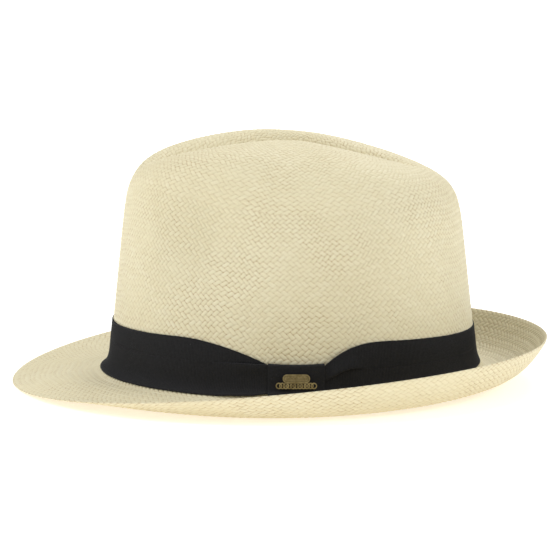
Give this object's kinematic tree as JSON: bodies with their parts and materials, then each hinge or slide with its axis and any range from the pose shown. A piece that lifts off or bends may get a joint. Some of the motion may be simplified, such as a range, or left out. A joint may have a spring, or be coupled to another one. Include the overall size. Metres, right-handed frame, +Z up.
{
  "type": "panama hat",
  "caption": "Woven straw panama hat with a creased, pinched crown, snap brim, black grosgrain band pleated into a side knot, a small metal pin and a sewn-in sweatband.",
  "frame": {"origin": "bottom centre of the bounding box, on the surface the brim rests on", "axes": "+Z up, -Y towards the front of the hat, +X towards the wearer's left, the side with the knot and pin"},
  "size_m": [0.261, 0.2965, 0.1356],
  "materials": {
    "straw": "woven palm straw, natural cream, semi-matt",
    "band_ribbon": "black grosgrain ribbon, fine upright ribs",
    "knot_ribbon": "black grosgrain ribbon, ribs lying level",
    "badge_metal": "antique brass, darkened in the recesses",
    "sweatband_cloth": "ecru cotton twill tape",
    "reed_piping": "cloth covered reed",
    "thread": "matt sewing thread",
    "sweatband_ribbon": "narrow satin ribbon",
    "label_cloth": "plain woven cloth, blank"
  },
  "bodies": {
    "root": {"straw_body": "straw", "hat_band": "band_ribbon", "band_knot": "knot_ribbon", "badge": "badge_metal", "sweatband": "sweatband_cloth", "sweatband_reed": "reed_piping", "sweatband_stitching": "thread", "sweatband_bow": "sweatband_ribbon", "size_label": "label_cloth"}
  },
  "joints": []
}
